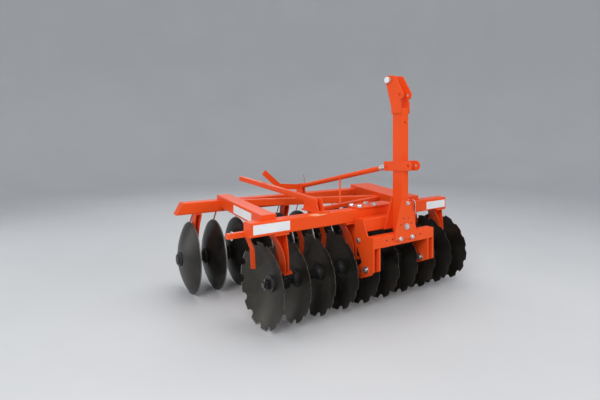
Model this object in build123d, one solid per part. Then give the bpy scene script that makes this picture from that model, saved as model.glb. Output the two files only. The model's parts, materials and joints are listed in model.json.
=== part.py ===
from build123d import *
import os
from math import atan2, cos, degrees, radians, sin, sqrt, tan

# Mounted offset disc harrow, in millimetres.
# +Z is up, -Y is the direction of travel, +X is to the right as seen from the front.
# The layout below is written about a point on the floor under the front gang's shaft.
# The finished model is then shifted so that its origin is under the middle of its box.

# Discs
disc_diameter = 610.0
disc_dish = 84.0
disc_plate = 6.0
disc_flat = 160.0
disc_edge_bevel = 7.0
notch_count = 14
notch_radius = 32.0
notch_depth = 27.0
notch_phase = 0.3
disc_count = 10
disc_spacing = 217.0

# Gang shafts, spools and bearings
axle_z = 305.0
axle_side = 32.0
axle_clearance = 0.4
axle_overhang = 72.0
spool_flange_radius = 64.0
spool_flange_plate = 12.0
spool_flare = 34.0
journal_radius = 35.0
bearing_clearance = 0.06
bearing_wall = 25.0
bearing_length = 72.0
end_washer_radius = 58.0
end_washer_plate = 16.0
end_nut_side = 58.0
end_nut_height = 30.0
end_cap_radius = 42.0
end_cap_plate = 12.0

# Places of the gangs
front_gang_x = -20.0
rear_gang_x = -341.5
rear_gang_y = 881.0
rear_gang_angle = 4.5

# Main frame tubes
tube_side = 100.0
tube_wall = 6.0
tube_corner = 9.0
tube_bottom = 680.0
cap_plate = 6.0
front_overhang_left = 223.5
front_inset_right = 134.5
front_beam_y = -60.0
rear_inset_left = 20.0
rear_overhang_right = 160.0
rear_beam_rake = 55.0
rear_beam_y = 30.0

# Side members, raised above the beams and lapped over them
member_rise = 38.0
left_member_width = 120.0
left_member_inset = 108.0
left_member_lean = 8.4
right_member_width = 240.0
right_member_x = 266.0
right_member_lean = 16.6
lap_front = 62.0
lap_rear = 88.0

# Inner members
cross_side = 60.0
cross_wall = 5.0
cross_left_y = 870.0
cross_right_y = 345.0
stay_width = 40.0
stay_height = 30.0
stay_left_x = -588.0
stay_left_y = 95.0
stay_right_y = 285.0

# Three-point hitch
hitch_x = 48.0
hitch_plate = 12.0
upper_beam_side = 100.0
upper_beam_bottom = 615.0
upper_beam_right = 300.0
cross_bar_depth = 80.0
cross_bar_height = 85.0
cross_bar_bottom = 507.0
left_clevis_disc = 5
right_clevis_disc = 8
left_clevis_clearance = 9.5
right_clevis_clearance = 43.5
clevis_gap = 50.0
clevis_depth = 165.0
clevis_lug_y = 107.0
clevis_lug_z = 331.0
clevis_end_radius = 42.0
link_pin_radius = 11.0
link_pin_y = 78.0
link_pin_z = 340.0
link_pin_overhang = 16.0
pin_clearance = 0.3
lug_hole_radius = 11.2
lug_radius = 48.0
lug_y = -174.0
lug_z = 305.0
cheek_top_inset = 3.0
cheek_nose = (44.0, 6.0)
cheek_toe = (30.0, 34.0)
cheek_lug_front = (26.0, 40.0)
cheek_lug_rear = (40.0, 26.0)
cheek_lug_top = (22.0, 45.0)
cheek_waist = (52.0, 20.0)
cheek_heel_rise = 66.0
cover_left = -271.0
cover_right = 140.0
cover_front = 12.0
cover_rear = 40.0
cover_plate = 12.0
cover_corner = 45.0

# Mast
mast_width = 80.0
mast_depth = 100.0
mast_wall = 6.0
mast_corner = 8.0
mast_top = 1583.0
mast_hole_z = 1467.0
mast_hole_radius = 8.0
foot_plate = 12.0
foot_top_z = 858.0
foot_shoulder_z = 600.0
foot_bottom_z = 545.0
foot_top_width = 88.0
foot_bottom_width = 244.0
ear_plate = 12.0
ear_pin_y = -196.0
ear_pin_rise = 225.0
ear_eye_y = -309.0
ear_eye_rise = 101.0
ear_eye_radius = 36.0
ear_pin_end_radius = 38.0
ear_skirt = 46.0
ear_hole_radius = 12.7
ear_pin_radius = 12.4
ear_pin_overhang = 26.0

# Band around the mast and its brace to the rear beam
band_plate = 12.0
band_height = 78.0
band_front_y = -430.0
band_rear_y = -140.0
band_z = 1119.0
band_tilt = 3.8
band_hole_radius = 12.8
band_hole_inset = 38.0
brace_radius = 21.0
brace_eye_plate = 18.0
brace_eye_radius = 26.0
brace_eye_reach = 16.0
brace_boss_length = 78.0
brace_neck = 34.0
brace_pin_radius = 10.0
brace_pin_overhang = 12.0
brace_front_y = -168.0
brace_front_z = 1111.0
bracket_x = 231.5
brace_rear_z = 842.0
bracket_plate = 12.0
bracket_gap = 24.0
bracket_length = 90.0
bracket_top_radius = 30.0

# Bars and levers on top of the frame
bar_side = 40.0
bar_front = (-596.0, -8.0, 862.0)
bar_rear = (-651.0, 1128.0, 934.0)
bar_foot_plate = 10.0
bar_play = 1.0
bar_foot_front = -105.0
bar_foot_rear = 118.0
bar_foot_width = 96.0
bar_foot_base = 12.0
lever_height = 52.0
lever_plate = 10.0
lever_bend = (-14.5, 858.0)
lever_tip = (-179.5, 1002.0)
lever_right_z = 836.0
rod_radius = 8.0
rod_foot_x = -208.0
rod_top_y = 385.0
handle_radius = 6.0
handle_place = 62.0
handle_way = (-22.0, 0.0, 112.0)

# Scrapers
scraper_bar_side = 36.0
scraper_bar_z = 669.0
front_scraper_bar_reach = (126.0, 78.0)
rear_scraper_bar_reach = (-37.0, 0.0)
scraper_width = 36.0
scraper_plate = 8.0
scraper_tab = 36.0
scraper_knee_rise = 255.0
scraper_tip_rise = 80.0
# Each gang's scrapers, from the hub of their disc: x at the bar, then (x, y) of the knee and tip
front_scraper_line = (-184.0, (-122.0, 62.0), (-60.0, 158.0))
rear_scraper_line = (146.0, (118.0, 138.0), (62.0, 160.0))

# Standards
standard_depth = 84.0
standard_wall = 9.0
standard_plate = 12.0
standard_neck_rise = 150.0
standard_sole_rise = 67.0
housing_pad = 20.0
housing_pad_length = 112.0
front_standard_bays = (1, 4, 9)
rear_standard_bays = (1, 5, 9)
# Each gang's standards: width and sideways shift at the top, then at the foot
front_standard_sizes = (118.0, -84.0, 36.0, -18.0)
rear_standard_sizes = (58.0, 41.0, 44.0, 18.0)

# Values worked out from the sizes above
disc_radius = disc_diameter / 2
gang_half = disc_spacing * (disc_count - 1) / 2
tube_top = tube_bottom + tube_side
member_top = tube_top + member_rise
member_bottom = tube_bottom + member_rise
front_beam_left = front_gang_x - gang_half - front_overhang_left
front_beam_right = front_gang_x + gang_half - front_inset_right
rear_beam_left = rear_inset_left - gang_half
rear_beam_right = gang_half + rear_overhang_right
left_member_x = front_beam_left + left_member_inset
front_beam_front = front_beam_y - tube_side / 2
front_beam_back = front_beam_y + tube_side / 2
upper_beam_front = front_beam_front - upper_beam_side
upper_beam_top = upper_beam_bottom + upper_beam_side
ear_pin_z = mast_top + ear_pin_rise
ear_eye_z = mast_top + ear_eye_rise
mast_back = upper_beam_front - foot_plate
mast_front = mast_back - mast_depth
cross_bar_top = cross_bar_bottom + cross_bar_height
front_bar_ends = (
    front_beam_left - front_scraper_bar_reach[0] - front_gang_x,
    front_beam_right + front_scraper_bar_reach[1] - front_gang_x)
rear_bar_ends = (rear_beam_left - rear_scraper_bar_reach[0], rear_beam_right + rear_scraper_bar_reach[1])
front_place = Pos(front_gang_x, 0, 0)
rear_place = Pos(rear_gang_x, rear_gang_y, 0) * Rot(0, 0, -rear_gang_angle)
link_pin_place_y = mast_front + link_pin_y
standard_neck_z = axle_z + standard_neck_rise
standard_sole_z = axle_z + standard_sole_rise
scraper_knee_z = axle_z + scraper_knee_rise
scraper_tip_z = axle_z + scraper_tip_rise

parts = {}


def block(x_low, x_high, y_low, y_high, z_low, z_high):
    """A plain box given by its faces."""
    size = (x_high - x_low, y_high - y_low, z_high - z_low)
    middle = ((x_low + x_high) / 2, (y_low + y_high) / 2, (z_low + z_high) / 2)
    return Pos(*middle) * Box(*size)


def rod(start, end, radius):
    """A round bar from one point to another."""
    way = Vector(*end) - Vector(*start)
    plane = Plane(origin=start, z_dir=way)
    return extrude(plane * Circle(radius), amount=way.length)


def tube_x(x_low, x_high, y_middle, z_low, width, height, wall, corner):
    """A rectangular hollow section along X, open at both ends."""
    plane = Plane(origin=(x_low, y_middle, z_low + height / 2), x_dir=(0, 1, 0), z_dir=(1, 0, 0))
    outside = RectangleRounded(width, height, corner)
    inside = RectangleRounded(width - 2 * wall, height - 2 * wall, corner - wall)
    return extrude(plane * (outside - inside), amount=x_high - x_low)


def side_plate(x_low, plate, outline, corner_radius=0.0):
    """A flat plate across X, from its outline as (y, z) points."""
    face = make_face(Polyline(*[(y, z) for y, z in outline], close=True))
    if corner_radius:
        face = fillet(face.vertices(), corner_radius)
    plane = Plane(origin=(x_low, 0, 0), x_dir=(0, 1, 0), z_dir=(1, 0, 0))
    return extrude(plane * face, amount=plate)


def front_plate(y_low, plate, outline):
    """A flat plate across Y, from its outline as (x, z) points."""
    face = make_face(Polyline(*[(x, z) for x, z in outline], close=True))
    plane = Plane(origin=(0, y_low, 0), x_dir=(1, 0, 0), z_dir=(0, -1, 0))
    return extrude(plane * face, amount=-plate)


def hole_x(x_low, x_high, y, z, radius):
    """A cutter for a round hole along X."""
    return rod((x_low - 1, y, z), (x_high + 1, y, z), radius)


def turned(profile):
    """A body turned about the gang's shaft, from its profile as (x, radius) lines and arcs."""
    face = make_face(Plane.XZ * profile)
    return Pos(0, 0, axle_z) * revolve(face, Axis.X)


def ribbon(points, thickness):
    """The outline of a bent flat bar seen on edge, from its middle line."""
    near = []
    far = []
    for number, (x, y) in enumerate(points):
        before = points[max(number - 1, 0)]
        after = points[min(number + 1, len(points) - 1)]
        first = Vector(x - before[0], y - before[1]).normalized() if number else None
        last = Vector(after[0] - x, after[1] - y).normalized() if number < len(points) - 1 else None
        first = first or last
        last = last or first
        middle = (first + last).normalized()
        reach = thickness / 2 / middle.dot(first)
        near.append((x - middle.Y * reach, y + middle.X * reach))
        far.append((x + middle.Y * reach, y - middle.X * reach))
    return near + far[::-1]


def place_all(pieces, place):
    return Compound(children=[place * piece for piece in pieces])


def hub_x(number):
    """Place along the gang of a disc's flat centre, numbered from 1 at the left end."""
    return disc_spacing * (number - 1 - (disc_count - 1) / 2)


def bay_x(number):
    """Middle of the bay between a disc and the next one."""
    return hub_x(number) + disc_spacing / 2


def dish_x(radius):
    """How far the dished plate has left the plane of its flat centre, at a radius."""
    flat = disc_flat / 2
    if radius <= flat:
        return 0.0
    return disc_dish * (radius ** 2 - flat ** 2) / (disc_radius ** 2 - flat ** 2)


# Discs: a flat centre and a dished skirt, concave towards -X
def make_disc(notched):
    half = disc_plate / 2
    flat = disc_flat / 2
    middle = (flat + disc_radius) / 2
    back_rim = disc_radius - disc_edge_bevel
    hollow = ThreePointArc(
        (-half, flat), (-half - dish_x(middle), middle), (-half - disc_dish, disc_radius))
    back = ThreePointArc(
        (half - dish_x(back_rim), back_rim), (half - dish_x(middle), middle), (half, flat))
    profile = Polyline((half, flat), (half, 0), (-half, 0), (-half, flat)) + hollow
    profile += Line(hollow @ 1, back @ 0) + back
    disc = turned(profile)
    square = axle_side + 2 * axle_clearance
    disc -= Pos(0, 0, axle_z) * Box(4 * disc_plate, square, square)
    if notched:
        pitch = 360 / notch_count
        reach = disc_radius - notch_depth + notch_radius
        for number in range(notch_count):
            turn = radians(pitch * (number + notch_phase))
            centre_y = reach * sin(turn)
            centre_z = axle_z - reach * cos(turn)
            disc -= hole_x(-2 * disc_dish, disc_dish, centre_y, centre_z, notch_radius)
    return disc


# Spools: cast spacers between the discs, the middle of each being a bearing journal
def make_spool():
    half = (disc_spacing - disc_plate) / 2
    inner = axle_side / 2 * sqrt(2) + axle_clearance
    shoulder = half - spool_flange_plate
    waist = shoulder - spool_flare
    bend = 0.3 * (spool_flange_radius - journal_radius)
    knee = shoulder - 0.3 * spool_flare
    profile = Polyline(
        (-half, inner), (-half, spool_flange_radius), (-shoulder, spool_flange_radius))
    profile += ThreePointArc(
        (-shoulder, spool_flange_radius), (-knee, journal_radius + bend), (-waist, journal_radius))
    profile += Line((-waist, journal_radius), (waist, journal_radius))
    profile += ThreePointArc(
        (waist, journal_radius), (knee, journal_radius + bend), (shoulder, spool_flange_radius))
    profile += Polyline(
        (shoulder, spool_flange_radius), (half, spool_flange_radius), (half, inner), (-half, inner))
    return turned(profile)


def make_gang(name, place, concave_right, notched, nut_sides):
    """Everything that turns with one gang; a side without a nut gets a plain cap."""
    disc = make_disc(notched)
    if concave_right:
        disc = Rot(0, 0, 180) * disc
    spool = make_spool()
    numbers = range(1, disc_count + 1)
    discs = [Pos(hub_x(number), 0, 0) * disc for number in numbers]
    spools = [Pos(bay_x(number), 0, 0) * spool for number in numbers if number < disc_count]
    capped_reach = gang_half + disc_plate / 2 + end_washer_plate
    left_reach, right_reach = [
        gang_half + axle_overhang if side in nut_sides else capped_reach for side in (-1, 1)]
    axle_half = axle_side / 2
    axle = block(-left_reach, right_reach, -axle_half, axle_half, axle_z - axle_half, axle_z + axle_half)
    washers = []
    nuts = []
    hole_radius = axle_half * sqrt(2) + axle_clearance
    for side in (-1, 1):
        seat = side * (gang_half + disc_plate / 2)
        rim = seat + side * end_washer_plate
        washer = rod((seat, 0, axle_z), (rim, 0, axle_z), end_washer_radius)
        washers.append(washer - rod((seat - side, 0, axle_z), (rim + side, 0, axle_z), hole_radius))
        if side not in nut_sides:
            nuts.append(rod((rim, 0, axle_z), (rim + side * end_cap_plate, 0, axle_z), end_cap_radius))
            continue
        outer = rim + side * end_nut_height
        nut_half = end_nut_side / 2
        nut = block(
            min(rim, outer), max(rim, outer), -nut_half, nut_half, axle_z - nut_half, axle_z + nut_half)
        nuts.append(nut - rod((rim - side, 0, axle_z), (outer + side, 0, axle_z), hole_radius))
    parts[name + "_discs"] = place_all(discs, place)
    parts[name + "_spools"] = place_all(spools, place)
    parts[name + "_axle"] = place * axle
    parts[name + "_end_washers"] = place_all(washers, place)
    parts[name + "_end_nuts"] = place_all(nuts, place)


# Standards: a tapered channel that leans with the dish, from the beam to the bearing housing
def make_standard(beam_y, sizes):
    top_width, top_x, foot_width, foot_x = sizes
    top_z = tube_bottom - standard_plate
    low_z = standard_sole_z + standard_plate
    top = top_width / 2
    foot = foot_width / 2
    knee_z = (top_z + standard_neck_z) / 2
    knee = foot + 0.3 * (top - foot)
    knee_x = foot_x + 0.3 * (top_x - foot_x)

    def outline(inset):
        face = Polyline(
            (foot_x - foot + inset, standard_neck_z), (foot_x - foot + inset, low_z),
            (foot_x + foot - inset, low_z), (foot_x + foot - inset, standard_neck_z))
        face += ThreePointArc(
            (foot_x + foot - inset, standard_neck_z), (knee_x + knee - inset, knee_z),
            (top_x + top - inset, top_z))
        face += Line((top_x + top - inset, top_z), (top_x - top + inset, top_z))
        face += ThreePointArc(
            (top_x - top + inset, top_z), (knee_x - knee + inset, knee_z),
            (foot_x - foot + inset, standard_neck_z))
        return make_face(face)

    middle = beam_y / 2
    front = middle - standard_depth / 2
    plane = Plane(origin=(0, front, 0), x_dir=(1, 0, 0), z_dir=(0, -1, 0))
    channel = extrude(plane * outline(0), amount=-standard_depth)
    channel -= extrude(plane * outline(standard_wall), amount=-(standard_depth - standard_wall))
    head = block(
        top_x - top, top_x + top, beam_y - tube_side / 2, beam_y + tube_side / 2, top_z, tube_bottom)
    pad = housing_pad_length / 2
    width = bearing_length / 2
    sole = block(foot_x - width, foot_x + width, middle - pad, middle + pad, standard_sole_z, low_z)
    return channel + head + sole


# Bearing housings: a round shell on the journal, with a pad that the standard is bolted to
def make_housing(beam_y):
    width = bearing_length / 2
    shell_radius = journal_radius + bearing_clearance + bearing_wall
    shell = rod((-width, 0, axle_z), (width, 0, axle_z), shell_radius)
    pad_half = housing_pad_length / 2
    pad_low = standard_sole_z - housing_pad
    middle = beam_y / 2
    pad = block(-width, width, middle - pad_half, middle + pad_half, pad_low, standard_sole_z)
    neck = block(-width, width, -shell_radius, shell_radius, axle_z, pad_low)
    bore = hole_x(-width, width, 0, axle_z, journal_radius + bearing_clearance)
    return shell + neck + pad - bore


# Scrapers: a flat tab bolted behind the bar and a shank that reaches into the dish
def flat_bar(start, end, width, plate, spare):
    """A flat bar between two points, level across its width, made longer by spare at both ends."""
    way = Vector(*end) - Vector(*start)
    unit = way.normalized()
    across = Vector(0, 0, 1).cross(way).normalized()
    plane = Plane(origin=Vector(*start) - unit * spare, x_dir=across, z_dir=way)
    return extrude(plane * Rectangle(width, plate), amount=way.length + 2 * spare)


def make_scraper(line, bar_back):
    top_x, knee, tip = line
    tab = block(
        top_x - scraper_width / 2, top_x + scraper_width / 2, bar_back, bar_back + scraper_plate,
        scraper_bar_z - scraper_plate, scraper_bar_z + scraper_tab - scraper_plate)
    top_place = (top_x, bar_back + scraper_plate / 2, scraper_bar_z)
    knee_place = (*knee, scraper_knee_z)
    tip_place = (*tip, scraper_tip_z)
    spare = scraper_plate / 2
    upper = flat_bar(top_place, knee_place, scraper_width, scraper_plate, spare)
    lower = flat_bar(knee_place, tip_place, scraper_width, scraper_plate, spare)
    bar_space = block(
        top_x - 2 * scraper_width, top_x + 2 * scraper_width, bar_back - scraper_bar_side, bar_back,
        scraper_bar_z, scraper_bar_z + scraper_bar_side)
    return tab + upper + lower - bar_space


def make_gang_carriers(name, place, beam_y, bays, standard_sizes, scraper_line, bar_ends):
    """Standards, housings, scraper bar and scrapers of one gang, in the gang's own frame."""
    standard = make_standard(beam_y, standard_sizes)
    housing = Pos(standard_sizes[3], 0, 0) * make_housing(beam_y)
    parts[name + "_standards"] = place_all([Pos(bay_x(bay), 0, 0) * standard for bay in bays], place)
    parts[name + "_bearing_housings"] = place_all([Pos(bay_x(bay), 0, 0) * housing for bay in bays], place)
    bar_front = beam_y + tube_side / 2
    bar_back = bar_front + scraper_bar_side
    bar = block(*bar_ends, bar_front, bar_back, scraper_bar_z, scraper_bar_z + scraper_bar_side)
    parts[name + "_scraper_bar"] = place * bar
    scraper = make_scraper(scraper_line, bar_back)
    hubs = [hub_x(number) for number in range(1, disc_count + 1)]
    parts[name + "_scrapers"] = place_all([Pos(hub, 0, 0) * scraper for hub in hubs], place)


# Main frame
def make_main_frame():
    parts["front_beam"] = tube_x(
        front_beam_left, front_beam_right, front_beam_y, tube_bottom, tube_side, tube_side,
        tube_wall, tube_corner)
    rear_middle = rear_beam_y
    rear = tube_x(
        rear_beam_left - rear_beam_rake, rear_beam_right, rear_middle, tube_bottom, tube_side, tube_side, tube_wall,
        tube_corner)
    depth_low = rear_middle - tube_side / 2
    rake_cut = front_plate(depth_low, tube_side, [
        (rear_beam_left - 2 * rear_beam_rake, tube_bottom), (rear_beam_left - rear_beam_rake, tube_bottom),
        (rear_beam_left, tube_top), (rear_beam_left - 2 * rear_beam_rake, tube_top)])
    parts["rear_beam"] = rear_place * (rear - rake_cut)
    rake_cap = front_plate(depth_low, tube_side, [
        (rear_beam_left - rear_beam_rake - cap_plate, tube_bottom), (rear_beam_left - rear_beam_rake, tube_bottom),
        (rear_beam_left, tube_top), (rear_beam_left - cap_plate, tube_top)])
    cap = block(0, cap_plate, -tube_side / 2, tube_side / 2, tube_bottom, tube_top)
    caps = [
        Pos(front_beam_left - cap_plate, front_beam_y, 0) * cap,
        Pos(front_beam_right, front_beam_y, 0) * cap,
        rear_place * rake_cap,
        rear_place * Pos(rear_beam_right, rear_beam_y, 0) * cap,
    ]
    parts["beam_end_caps"] = Compound(children=caps)


def rear_line_y(x, offset):
    """Where a line along the rear gang, at an offset behind its shaft, crosses a given x."""
    slope = tan(radians(rear_gang_angle))
    return rear_gang_y - slope * (x - rear_gang_x) + offset / cos(radians(rear_gang_angle))


def bay_between(front_y, rear_offset, z_low, z_high):
    """The space between a line along the front beam and one along the rear beam."""
    reach = 3000.0
    corners = [
        (-reach, front_y), (reach, front_y),
        (reach, rear_line_y(reach, rear_offset)), (-reach, rear_line_y(-reach, rear_offset))]
    face = make_face(Polyline(*corners, close=True))
    return extrude(Pos(0, 0, z_low) * face, amount=z_high - z_low)


def make_side_member(left_x, width, lean):
    """A tube that leans back from the front beam, with its top lapped over both beams."""
    reach = 2000.0
    place = Pos(left_x, front_beam_back, 0) * Rot(0, 0, 90 - lean)
    shift = -width / 2
    tube = place * tube_x(-reach, reach, shift, member_bottom, width, tube_side, tube_wall, tube_corner)
    bay = bay_between(front_beam_back, rear_beam_y - tube_side / 2, 0, member_top)
    lap = place * block(-reach, reach, -width, 0, tube_top, member_top)
    lap &= bay_between(
        front_beam_back - lap_front, rear_beam_y - tube_side / 2 + lap_rear, tube_top, member_top)
    return (tube & bay) + (lap - bay)


def member_edge_x(left_x, lean, width, y):
    """x of a side member's edge at a given y; width is 0 for its left edge."""
    across = width / cos(radians(lean))
    return left_x + across + tan(radians(lean)) * (y - front_beam_back)


def make_inner_members():
    left_edge = member_edge_x(left_member_x, left_member_lean, left_member_width, cross_left_y)
    right_edge = member_edge_x(right_member_x, right_member_lean, 0, cross_right_y)
    way = Vector(right_edge - left_edge, cross_right_y - cross_left_y, 0)
    turn = degrees(atan2(way.Y, way.X))
    place = Pos(left_edge, cross_left_y, 0) * Rot(0, 0, turn)
    spare = 2 * cross_side
    cross = place * tube_x(
        -spare, way.length + spare, 0, tube_top - cross_side, cross_side, cross_side, cross_wall, 6.0)
    left_zone = member_zone(left_member_x, left_member_lean, left_member_width)
    right_zone = member_zone(right_member_x, right_member_lean, right_member_width)
    parts["inner_cross_member"] = cross - left_zone - right_zone
    stay_right_x = member_edge_x(right_member_x, right_member_lean, 0, stay_right_y)
    stay_way = Vector(stay_right_x - stay_left_x, stay_right_y - stay_left_y, 0)
    stay_place = Pos(stay_left_x, stay_left_y, 0) * Rot(0, 0, degrees(atan2(stay_way.Y, stay_way.X)))
    stay = stay_place * block(
        0, stay_way.length + spare, -stay_width / 2, stay_width / 2, tube_top - stay_height, tube_top)
    parts["diagonal_stay"] = stay - right_zone


def member_zone(left_x, lean, width):
    """The whole plan of a side member, much longer than the member, as a cutter."""
    reach = 2000.0
    place = Pos(left_x, front_beam_back, 0) * Rot(0, 0, 90 - lean)
    beyond = 4 * tube_side
    side = 0 if width == right_member_width else beyond
    return place * block(-reach, reach, -width - (beyond - side), side, 0, 2 * tube_top)


# Three-point hitch
def clevis_x(disc, clearance):
    """Middle of the clevis whose right-hand plate stands clear of a front disc's rim."""
    rim = front_gang_x + hub_x(disc) - disc_dish - disc_plate / 2
    return rim - clearance - hitch_plate - clevis_gap / 2


def make_hitch():
    left_x = clevis_x(left_clevis_disc, left_clevis_clearance)
    right_x = clevis_x(right_clevis_disc, right_clevis_clearance)
    outer_left = left_x - clevis_gap / 2 - hitch_plate
    inner_left = left_x + clevis_gap / 2
    inner_right = right_x - clevis_gap / 2 - hitch_plate
    outer_right = right_x + clevis_gap / 2
    parts["upper_hitch_beam"] = tube_x(
        outer_left + hitch_plate, upper_beam_right, front_beam_front - upper_beam_side / 2, upper_beam_bottom,
        upper_beam_side, upper_beam_side, tube_wall, tube_corner)
    bar = tube_x(
        outer_left + hitch_plate, outer_right + hitch_plate, mast_front + cross_bar_depth / 2, cross_bar_bottom,
        cross_bar_depth, cross_bar_height, tube_wall, 7.0)
    parts["lower_cross_bar"] = bar
    # The left cheek runs from the frame down past the cross bar to a rounded lug
    cheek_top = upper_beam_top - cheek_top_inset
    outline = [
        (front_beam_front, cheek_top), (upper_beam_front, cheek_top),
        (upper_beam_front - cheek_nose[0], cross_bar_top + cheek_nose[1]),
        (mast_front, cross_bar_top), (mast_front, link_pin_z),
        (mast_front + cheek_toe[0], link_pin_z - cheek_toe[1]),
        (lug_y - cheek_lug_front[0], lug_z - cheek_lug_front[1]),
        (lug_y + cheek_lug_rear[0], lug_z + cheek_lug_rear[1]),
        (lug_y - cheek_lug_top[0], link_pin_z + cheek_lug_top[1]),
        (lug_y + cheek_waist[0], cross_bar_bottom + cheek_waist[1]),
        (front_beam_front, cross_bar_bottom + cheek_heel_rise)]
    cheek = side_plate(outer_left, hitch_plate, outline)
    cheek += rod((outer_left, lug_y, lug_z), (outer_left + hitch_plate, lug_y, lug_z), lug_radius)
    cheek -= hole_x(outer_left, outer_left + hitch_plate, lug_y, lug_z, lug_hole_radius)
    link_hole_radius = link_pin_radius + pin_clearance
    cheek -= hole_x(outer_left, outer_left + hitch_plate, link_pin_place_y, link_pin_z, link_hole_radius)
    parts["left_hitch_cheek"] = cheek
    clevis_lug_place_y = mast_front + clevis_lug_y
    clevis_outline = [
        (mast_front, cross_bar_bottom), (mast_front, link_pin_z - 4),
        (clevis_lug_place_y - 12, clevis_lug_z - clevis_end_radius + 4),
        (clevis_lug_place_y + clevis_end_radius, clevis_lug_z), (mast_front + clevis_depth, cross_bar_bottom)]
    plates = []
    for x_low in (inner_left, inner_right, outer_right):
        plate = side_plate(x_low, hitch_plate, clevis_outline)
        x_high = x_low + hitch_plate
        plate += rod(
            (x_low, clevis_lug_place_y, clevis_lug_z), (x_high, clevis_lug_place_y, clevis_lug_z),
            clevis_end_radius)
        plate -= hole_x(x_low, x_high, link_pin_place_y, link_pin_z, link_hole_radius)
        plates.append(plate)
    parts["clevis_plates"] = Compound(children=plates)
    pins = []
    for x in (left_x, right_x):
        half = clevis_gap / 2 + hitch_plate + link_pin_overhang
        pin = rod(
            (x - half, link_pin_place_y, link_pin_z), (x + half, link_pin_place_y, link_pin_z),
            link_pin_radius)
        pins.append(pin)
    parts["lower_link_pins"] = Compound(children=pins)
    cover_low_y = front_beam_front - cover_front
    cover_high_y = front_beam_back + cover_rear
    cover = RectangleRounded(cover_right - cover_left, cover_high_y - cover_low_y, cover_corner)
    cover_middle = Pos((cover_left + cover_right) / 2, (cover_low_y + cover_high_y) / 2, tube_top)
    parts["beam_cover_plate"] = cover_middle * extrude(cover, amount=cover_plate)


# Mast
def make_mast():
    x_low = hitch_x - mast_width / 2
    x_high = hitch_x + mast_width / 2
    mast_middle = (mast_front + mast_back) / 2
    plane = Plane(origin=(hitch_x, mast_middle, cross_bar_top), x_dir=(1, 0, 0), z_dir=(0, 0, 1))
    outside = RectangleRounded(mast_width, mast_depth, mast_corner)
    inside = RectangleRounded(
        mast_width - 2 * mast_wall, mast_depth - 2 * mast_wall, mast_corner - mast_wall)
    mast = extrude(plane * (outside - inside), amount=mast_top - cross_bar_top)
    mast += block(
        x_low + mast_wall, x_high - mast_wall, mast_front + mast_wall, mast_back - mast_wall,
        mast_top - mast_wall, mast_top)
    mast -= rod((hitch_x, mast_front - 1, mast_hole_z), (hitch_x, mast_front + 2 * mast_wall, mast_hole_z),
                mast_hole_radius)
    parts["mast"] = mast
    top = foot_top_width / 2
    low = foot_bottom_width / 2
    outline = [
        (hitch_x - top, foot_top_z), (hitch_x + top, foot_top_z), (hitch_x + low, foot_shoulder_z),
        (hitch_x + low, foot_bottom_z), (hitch_x - low, foot_bottom_z), (hitch_x - low, foot_shoulder_z)]
    front = front_plate(mast_front - foot_plate, foot_plate, outline)
    back_outline = [
        (hitch_x - top, foot_top_z), (hitch_x + top, foot_top_z), (hitch_x + low, upper_beam_bottom),
        (hitch_x - low, upper_beam_bottom)]
    back = front_plate(mast_back, foot_plate, back_outline)
    parts["mast_foot_plates"] = Compound(children=[front, back])
    ear_outline = [
        (mast_back, mast_top - ear_skirt), (mast_back, mast_top), (ear_pin_y + ear_pin_end_radius, ear_pin_z),
        (ear_pin_y, ear_pin_z + ear_pin_end_radius), (ear_pin_y - 60, ear_pin_z + ear_pin_end_radius - 6),
        (ear_eye_y - ear_eye_radius, ear_eye_z + 12), (ear_eye_y - ear_eye_radius, ear_eye_z),
        (ear_eye_y, ear_eye_z - ear_eye_radius), (mast_front, ear_eye_z - 60),
        (mast_front, mast_top - ear_skirt)]
    ears = []
    for ear_x in (x_low - ear_plate, x_high):
        ear = side_plate(ear_x, ear_plate, ear_outline)
        ear += rod(
            (ear_x, ear_pin_y, ear_pin_z), (ear_x + ear_plate, ear_pin_y, ear_pin_z), ear_pin_end_radius)
        ear += rod((ear_x, ear_eye_y, ear_eye_z), (ear_x + ear_plate, ear_eye_y, ear_eye_z), ear_eye_radius)
        ear -= hole_x(ear_x, ear_x + ear_plate, ear_pin_y, ear_pin_z, ear_hole_radius)
        ear -= hole_x(ear_x, ear_x + ear_plate, ear_eye_y, ear_eye_z, ear_hole_radius)
        ears.append(ear)
    parts["mast_ears"] = Compound(children=ears)
    reach = mast_width / 2 + ear_plate + ear_pin_overhang
    parts["mast_head_pin"] = rod(
        (hitch_x - reach, ear_pin_y, ear_pin_z), (hitch_x + reach, ear_pin_y, ear_pin_z), ear_pin_radius)


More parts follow.
